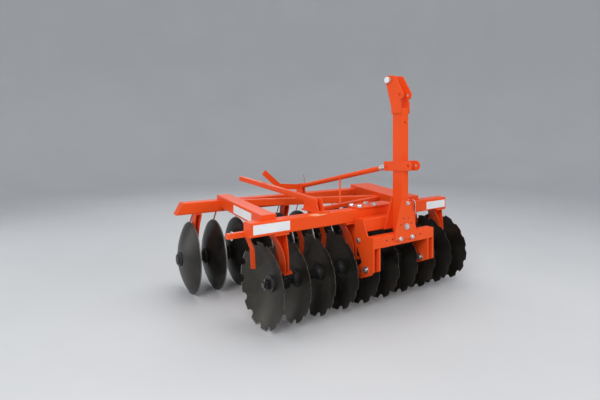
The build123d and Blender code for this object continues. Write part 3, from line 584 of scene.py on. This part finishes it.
# Left edge at the front beam, lean in degrees and width of each side member
LEFT_MEMBER = (-1112.0, 8.4, 120.0)
RIGHT_MEMBER = (266.0, 16.6, 240.0)
member_start, member_lean = LEFT_MEMBER[:2]
lean = math.radians(member_lean)
member_out = Vector((-math.cos(lean), math.sin(lean), 0))
member_lift = member_out * 0.0003
side_front, side_back, side_low, side_high = 125.0, 525.0, 736.0, 799.0
side_outline = (
    (side_back, side_low), (side_front, side_low), (side_front, side_high), (side_back, side_high))
member_corners = []
for y, z in side_outline:
    member_corners.append(at(member_x(member_start, member_lean, y), y, z) + member_lift)
plates.slab(member_corners, plate_thickness, member_out)
plates.done()

# Bolts and nuts of the fixed frame
bolts = Trim("frame_bolts", "frame", ZINC, "bare_steel")
hole_shades = Trim("painted_hole_shades", "frame", RUBBER)
cover_bolt_size = 23.0
cover_bolts = ((-236.0, -104.0), (-80.0, -104.0), (-252.0, -22.0), (-92.0, -22.0))
for x, y in cover_bolts:
    bolts.bolt(at(x, y, BEAM_TOP + PLATE_WALL), Z, cover_bolt_size, spin=0.002 * (x + y))
foot_plate_y = MAST_FRONT - PLATE_WALL
mast_bolts = (
    # x, z, size, y of the nut behind, if there is one
    (48.0, 644.0, 24.0, MAST_BACK + PLATE_WALL),
    (-18.0, 555.0, 18.0, CROSS_BACK),
    (114.0, 555.0, 18.0, CROSS_BACK),
    (62.0, 826.0, 17.0, None),
)
for x, z, size, nut_y in mast_bolts:
    bolts.bolt(at(x, foot_plate_y, z), -Y, size, spin=0.01 * z)
    if nut_y is not None:
        bolts.nut(at(x, nut_y, z), Y, size * 0.8)
# Bolt holes are thin dark rounds laid on the faces: painted shade standing for the dark inside of
# each hole
hole_lift, hole_depth = 0.15, 0.3
plate_hole_radius, cross_hole_radius = 6.2, 7.5
mast_holes = ((20.0, 708.0), (76.0, 708.0), (-14.0, 664.0), (110.0, 664.0), (156.0, 560.0))
for x, z in mast_holes:
    hole_shades.disc(at(x, foot_plate_y - hole_lift, z), -Y, plate_hole_radius, hole_depth, 20)
cross_hole_z = 558.0
for x in (-158.0, -94.0, 226.0):
    hole_shades.disc(at(x, MAST_FRONT - hole_lift, cross_hole_z), -Y, cross_hole_radius, hole_depth, 20)
cheek_bolt_y, cheek_bolt_z = -160.0, 548.0
bolts.bolt(at(CHEEK_LEFT, cheek_bolt_y, cheek_bolt_z), -X, 19.0)
bolts.nut(at(CHEEK_RIGHT, cheek_bolt_y, cheek_bolt_z), X, 14.4)
# A bow of round rod clamps the front beam, right of the mast, with a nut below each leg
bow_x, bow_rod = 405.0, 4.8
bow_front, bow_back = BEAM_FRONT - bow_rod, BEAM_BACK + bow_rod
bow_top, bow_low = BEAM_TOP + bow_rod, BEAM_LOW - 22
bow_line = (
    # y, z
    (bow_front, bow_low),
    (bow_front, bow_top - 14),
    (bow_front + 4, bow_top - 4),
    (bow_front + 14, bow_top),
    (bow_back - 14, bow_top),
    (bow_back - 4, bow_top - 4),
    (bow_back, bow_top - 14),
    (bow_back, bow_low),
)
bolts.wire([at(bow_x, y, z) for y, z in bow_line], bow_rod)
for y in (bow_front, bow_back):
    bolts.nut(at(bow_x, y, BEAM_LOW), -Z, 10.0)
# The scraper bar's end has a vertical bolt through it
bar_end_x, bar_end_y, bar_end_low, bar_end_top = -1308.0, 8.0, 669.0, 705.0
bar_bolt_size = 11.0
bolts.bolt(at(bar_end_x, bar_end_y, bar_end_top), Z, bar_bolt_size)
bolts.nut(at(bar_end_x, bar_end_y, bar_end_low), -Z, bar_bolt_size)

# Standards, bearing housings and scrapers: the same fasteners on both gangs
gangs = (
    # name, place, standard bays, foot shift, beam y, scraper x, bar back
    ("front", in_front, FRONT_BAYS, -18.0, -60.0, -184.0, 26.0),
    ("rear", in_rear, REAR_BAYS, 18.0, 30.0, 146.0, 116.0),
)
foot_bolt_x, foot_bolt_y, foot_bolt_size = 26.0, 46.0, 9.5
housing_half, housing_radius = 36.0, 59.5
seal_radius, seal_bore, seal_thickness = 52.0, 37.5, 3.5
nipple_profile = [
    (0, 0), (5.0, 0), (5.0, 4.0), (3.0, 5.0), (3.0, 9.0), (4.0, 10.5), (3.2, 13.0), (0, 13.5)]
scraper_wall, scraper_bolt_z, scraper_bolt_size = 8.0, 687.0, 10.0
seals = Trim("bearing_seals", "frame", RUBBER)
foot_nuts = Trim("foot_nuts", "frame", ORANGE, "orange_paint")
foot_bolts = Trim("foot_bolts", "frame", CAST_GREY)
nipples = Trim("grease_nipples", "frame", ZINC, "bare_steel")
for gang, place, bays, foot_shift, beam_y, scraper_x, bar_back in gangs:
    along = X if gang == "front" else rear_axis
    back = Y if gang == "front" else rear_back
    sole_y = beam_y / 2
    nipple_way = Z * 0.5 - back * 0.866
    for bay in bays:
        foot = hub(bay) + SPACING / 2 + foot_shift
        for side_x in (-foot_bolt_x, foot_bolt_x):
            for side_y in (-foot_bolt_y, foot_bolt_y):
                x, y = foot + side_x, sole_y + side_y
                foot_nuts.nut(place(x, y, SOLE_TOP), Z, foot_bolt_size)
                foot_bolts.bolt(place(x, y, PAD_LOW), -Z, foot_bolt_size)
        for side in (-1, 1):
            seal_place = place(foot + side * housing_half, 0, AXLE_Z)
            seals.washer(seal_place, along * side, seal_radius, seal_bore, seal_thickness)
        nipple = place(foot, 0, AXLE_Z) + nipple_way * (housing_radius / 1000)
        nipples.lathe(nipple, nipple_way, nipple_profile, 12)
    for number in range(1, DISCS + 1):
        spot = place(hub(number) + scraper_x, bar_back + scraper_wall, scraper_bolt_z)
        bolts.bolt(spot, back, scraper_bolt_size, spin=number * 0.4)
bolts.done()
hole_shades.done()
seals.done()
foot_nuts.done()
foot_bolts.done()
nipples.done()

# Pins: their washers and heads, and the ring at the mast pin's far end
pins = Trim("pin_washers", "frame", ZINC, "bare_steel")
heads = Trim("mast_pin_head", "frame", PIN_HEAD_HIGHLIGHT, "bare_steel")
link_y, link_z = -244.0, 340.0
clevis_middles, clevis_half, pin_overhang = (-262.0, 355.0), 37.0, 16.0
link_head_profile = [(0, 0), (16.5, 0), (18.0, 1.5), (18.0, 5.0), (15.5, 7.0), (0, 7.5)]
for middle in clevis_middles:
    for side in (-1, 1):
        face = middle + side * clevis_half
        pins.washer(at(face, link_y, link_z), X * side, 27.0, 11.2, 3.0)
        end = at(face + side * pin_overhang, link_y, link_z)
        pins.lathe(end, X * side, link_head_profile, 24)
head_y, head_z = -196.0, 1808.0
ear_left, ear_right = MAST_X - MAST_HALF - PLATE_WALL, MAST_X + MAST_HALF + PLATE_WALL
mast_pin_overhang, ring_past_ear = 26.0, 17.0
mast_head_profile = [(0, -8), (23.0, -8), (25.0, -6), (25.0, 2), (22.0, 4.5), (0, 5)]
# The pin's steel head is painted matte white as a painted highlight
heads.lathe(at(ear_left - mast_pin_overhang, head_y, head_z), -X, mast_head_profile, 32)
pins.washer(at(ear_left, head_y, head_z), -X, 24.0, 12.6, 3.5)
pins.washer(at(ear_right, head_y, head_z), X, 24.0, 12.6, 3.5)
# The ring is not quite closed and hangs a little low; its radius and tilt are in metres
ring_place, ring_points, ring_share = at(ear_right + ring_past_ear, head_y, head_z), 25, 0.93
ring_radius, ring_tilt, ring_drop = 0.021, 0.004, 0.004
ring = []
for step in range(ring_points):
    angle = 2 * math.pi * step / ring_points * ring_share
    ring.append(ring_place + Vector((
        ring_tilt * math.sin(angle),
        ring_radius * math.sin(angle),
        ring_radius * math.cos(angle) - ring_drop)))
pins.wire(ring, 2.2)
brace_y, brace_z = -168.0, 1111.0
painted = Trim("painted_washers", "frame", ORANGE, "orange_paint")
for face, way in ((ear_left, -X), (ear_right, X)):
    painted.washer(at(face, brace_y, brace_z), way, 20.0, 10.2, 3.0)
painted.done()
# The brace's front end is screwed into a bright ribbed sleeve
brace_start, brace_end = at(MAST_X, brace_y, brace_z), in_rear(231.5, 0.0, 842.0)
brace_way = brace_end - brace_start
sleeve_start, sleeve_end, sleeve_radius = 30, 111, 22.6
rib_count, rib_pace, rib_radius, groove_radius = 13, 6, 23.6, 22.4
sleeve = [(0, sleeve_start), (sleeve_radius, sleeve_start)]
for step in range(rib_count):
    rib = sleeve_start + 2 + step * rib_pace
    sleeve += [
        (rib_radius, rib), (rib_radius, rib + 2.5),
        (groove_radius, rib + 4), (groove_radius, rib + 5)]
sleeve += [(sleeve_radius, sleeve_end), (0, sleeve_end)]
pins.lathe(brace_start, brace_way.normalized(), sleeve, 28)
pins.done()
heads.done()

# Welds
welds = Trim("weld_beads", "frame", ORANGE_WELD, "orange_paint")
rear_hub_x = (rear_hub.x - front_hub.x) * 1000 + FRONT_GANG_X
rear_hub_y = (rear_hub.y - front_hub.y) * 1000


def rear_y(x, offset):
    """The depth of a line along the rear gang, moved back by an offset."""
    return rear_hub_y - math.tan(REAR_ANGLE) * (x - rear_hub_x) + offset / math.cos(REAR_ANGLE)


def member_meets(start, lean_deg, offset):
    """Where a side member's edge line crosses a line along the rear gang."""
    y = rear_hub_y
    for step in range(12):
        y = rear_y(member_x(start, lean_deg, y), offset)
    return member_x(start, lean_deg, y), y


# Each side member reaches over both beams, with beads round its ends on top and down its edges
over_front_y, over_rear, rear_face, bead_low = -72.0, 68.0, -20.0, MEMBER_LOW + 6
for start, lean_deg, width in (LEFT_MEMBER, RIGHT_MEMBER):
    across = width / math.cos(math.radians(lean_deg))
    near, far = start, start + across
    front_line = []
    for edge, y in ((near, BEAM_BACK), (near, over_front_y), (far, over_front_y), (far, BEAM_BACK)):
        front_line.append(at(member_x(edge, lean_deg, y), y, BEAM_TOP))
    welds.bead(front_line, 3.6)
    rear_line = []
    for edge, offset in ((near, rear_face), (near, over_rear), (far, over_rear), (far, rear_face)):
        x, y = member_meets(edge, lean_deg, offset)
        rear_line.append(at(x, y, BEAM_TOP))
    welds.bead(rear_line, 3.6)
    for edge in (near, far):
        welds.bead([at(edge, BEAM_BACK, bead_low), at(edge, BEAM_BACK, BEAM_TOP)], 3.4)
        x, y = member_meets(edge, lean_deg, rear_face)
        welds.bead([at(x, y, bead_low), at(x, y, BEAM_TOP)], 3.4)

standard_tops = (
    # place, bays, top shift, half width, beam middle y
    (in_front, FRONT_BAYS, -84.0, 59.0, -60.0),
    (in_rear, REAR_BAYS, 41.0, 29.0, 30.0),
)
top_plate_low = 667.5
for place, bays, shift, half, beam_y in standard_tops:
    for bay in bays:
        middle = hub(bay) + SPACING / 2 + shift
        for side in (-1, 1):
            x = middle + side * half
            welds.bead([place(x, beam_y - 46, BEAM_LOW), place(x, beam_y + 46, BEAM_LOW)], 3.4)
            x -= side * 2
            start, end = beam_y / 2 - 38, beam_y / 2 + 38
            welds.bead([place(x, start, top_plate_low), place(x, end, top_plate_low)], 3.0)

foot_top, back_bead_low = 856.0, 620.0
band_low, band_top, ears_low = 1084.0, 1154.0, MAST_TOP - 46
for x in (MAST_X - MAST_HALF, MAST_X + MAST_HALF):
    welds.bead([at(x, MAST_FRONT, CROSS_TOP + 4), at(x, MAST_FRONT, foot_top)], 3.4)
    welds.bead([at(x, MAST_BACK, back_bead_low), at(x, MAST_BACK, foot_top)], 3.4)
    for y in (MAST_FRONT, MAST_BACK):
        welds.bead([at(x, y, band_low), at(x, y, band_top)], 3.2)
        welds.bead([at(x, y, MAST_TOP - 44), at(x, y, MAST_TOP - 2)], 3.2)
    welds.bead([at(x, MAST_FRONT + 6, ears_low), at(x, MAST_BACK - 6, ears_low)], 3.2)
foot_left, foot_right, foot_low, foot_bead_top = -74.0, 170.0, 545.0, 590.0
foot_line = (
    (foot_left, foot_bead_top),
    (foot_left, foot_low),
    (foot_right, foot_low),
    (foot_right, foot_bead_top),
)
welds.bead([at(x, MAST_FRONT, z) for x, z in foot_line], 3.4)
for side in (-1, 1):
    upper_end = at(MAST_X + side * 46, MAST_FRONT + 1, foot_top)
    lower_end = at(MAST_X + side * 42, MAST_FRONT + 1, 600.0)
    welds.bead([upper_end, lower_end], 2.6)


def box_line(y_low, y_high, z_low, z_high):
    """The four corners of a tube's outline, as (y, z)."""
    return (y_low, z_low), (y_high, z_low), (y_high, z_high), (y_low, z_high)


upper_box = box_line(-208.0, -112.0, 617.0, 713.0)
lower_box = box_line(MAST_FRONT + 2, CROSS_BACK - 2, CROSS_LOW + 2, CROSS_TOP - 2)
for outline in (upper_box, lower_box):
    welds.bead([at(CHEEK_RIGHT, y, z) for y, z in outline], 3.4, closed=True)
clevis_faces = (-237.0, -225.0, 318.0, 330.0, 380.0, 392.0)
for x in clevis_faces:
    welds.bead([at(x, MAST_FRONT + 3, CROSS_LOW), at(x, CROSS_BACK - 2, CROSS_LOW)], 3.2)

cap_box = box_line(BEAM_FRONT + 2, BEAM_BACK - 2, BEAM_LOW + 2, BEAM_TOP - 2)
rear_cap_shift = 90.0
for x in (BEAM_LEFT, BEAM_RIGHT):
    welds.bead([at(x, y, z) for y, z in cap_box], 2.2, closed=True)
rear_cap = [in_rear(REAR_BEAM_RIGHT, y + rear_cap_shift, z) for y, z in cap_box]
welds.bead(rear_cap, 2.2, closed=True)
welds.done()

# Ends of the gang shafts: a split pin just outside each nut
hub_half, end_washer, end_nut, past_nut = 3.0, 16.0, 30.0, 8.0
cotter_x = hub(DISCS) + hub_half + end_washer + end_nut + past_nut
cotter_reach, loop_rise, loop_radius, loop_steps = 27.0, 33.0, 7.0, 16
legs_start, legs_end, legs_spread = 24.0, 36.0, 9.0
for gang, place, nut_sides in (("front", in_front, (-1, 1)), ("rear", in_rear, (1,))):
    cotters = Trim(gang + "_split_pins", gang + "_gang", DULL_ZINC, "bare_steel")
    for side in nut_sides:
        x = side * cotter_x
        low_end, high_end = AXLE_Z - cotter_reach, AXLE_Z + cotter_reach
        cotters.wire([place(x, 0, low_end), place(x, 0, high_end)], 3.2)
        loop = []
        for step in range(loop_steps + 1):
            angle = math.pi * 2 * step / loop_steps
            z = AXLE_Z + loop_rise - loop_radius * math.cos(angle)
            loop.append(place(x, loop_radius * math.sin(angle), z))
        cotters.wire(loop, 2.6, 8)
        for lean_y in (-1, 1):
            leg_start = place(x, 0, AXLE_Z - legs_start)
            leg_end = place(x, lean_y * legs_spread, AXLE_Z - legs_end)
            cotters.wire([leg_start, leg_end], 2.6, 8)
    cotters.done()

# Floor, lights and camera
floor_mesh = bmesh.new()
flat_radius, bend_radius, bend_steps, wall_top = 8.0, 4.0, 12, 9.0
profile = [(0.0, 0.0), (3.0, 0.0), (flat_radius, 0.0)]
for step in range(1, bend_steps + 1):
    angle = math.radians(90 / bend_steps * step)
    profile.append((
        flat_radius + bend_radius * math.sin(angle), bend_radius - bend_radius * math.cos(angle)))
profile.append((flat_radius + bend_radius, wall_top))
sides = 96
middle = Vector(((low.x + high.x) / 2, (low.y + high.y) / 2, 0))
rings = []
for radius, height in profile:
    if radius == 0:
        rings.append([floor_mesh.verts.new(middle + Vector((0, 0, height)))])
        continue
    ring = []
    for step in range(sides):
        angle = 2 * math.pi * step / sides
        corner = Vector((radius * math.cos(angle), radius * math.sin(angle), height))
        ring.append(floor_mesh.verts.new(middle + corner))
    rings.append(ring)
for first, second in zip(rings, rings[1:]):
    for step in range(sides):
        after = (step + 1) % sides
        if len(first) == 1:
            floor_mesh.faces.new([first[0], second[step], second[after]])
        else:
            floor_mesh.faces.new([first[step], second[step], second[after], first[after]])
floor_data = bpy.data.meshes.new("studio_floor")
floor_mesh.to_mesh(floor_data)
floor_mesh.free()
floor_data.shade_smooth()
floor_data.materials.append(floor_material("pale_floor"))
floor = bpy.data.objects.new("studio_floor", floor_data)
bpy.context.scene.collection.objects.link(floor)
floor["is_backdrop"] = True

world = bpy.data.worlds.new("studio")
bpy.context.scene.world = world
world.use_nodes = True
sky = world.node_tree.nodes["Background"]
sky.inputs["Color"].default_value = (0.86, 0.90, 0.96, 1)
sky.inputs["Strength"].default_value = 0.62

lamps = (
    # name, place, aim, size, power
    ("top_softbox", (0.4, 0.6, 5.2), (0, 0, 0.6), 4.5, 88.0),
    ("key_left", (-4.6, -3.4, 3.6), (-0.2, 0, 0.6), 2.2, 162.0),
    ("fill_front", (2.4, -5.2, 2.6), (0, 0, 0.6), 2.6, 85.0),
    ("low_left", (-4.4, 3.4, 1.2), (-0.8, 0, 0.3), 2.4, 31.0),
    ("back_edge", (1.5, 5.0, 3.2), (0, 0, 0.8), 2.4, 20.0),
)
for name, place, aim, size, power in lamps:
    data = bpy.data.lights.new(name, "AREA")
    data.shape = "SQUARE"
    data.size = size
    data.energy = power
    lamp = bpy.data.objects.new(name, data)
    lamp.location = place
    lamp.visible_camera = False
    lamp.rotation_euler = (Vector(aim) - Vector(place)).to_track_quat("-Z", "Y").to_euler()
    bpy.context.scene.collection.objects.link(lamp)

camera_data = bpy.data.cameras.new("photo_camera")
camera_data.lens = 27.3
camera_data.sensor_width = 36.0
camera_data.shift_y = -0.1215
camera_data.clip_end = 100.0
camera = bpy.data.objects.new("photo_camera", camera_data)
camera.location = at(-2703.0, -2801.0, 1429.0)
camera.rotation_euler = (math.radians(90), 0, math.radians(-34.96))
bpy.context.scene.collection.objects.link(camera)
bpy.context.scene.camera = camera
bpy.context.scene.view_settings.view_transform = "Standard"

low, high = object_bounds()
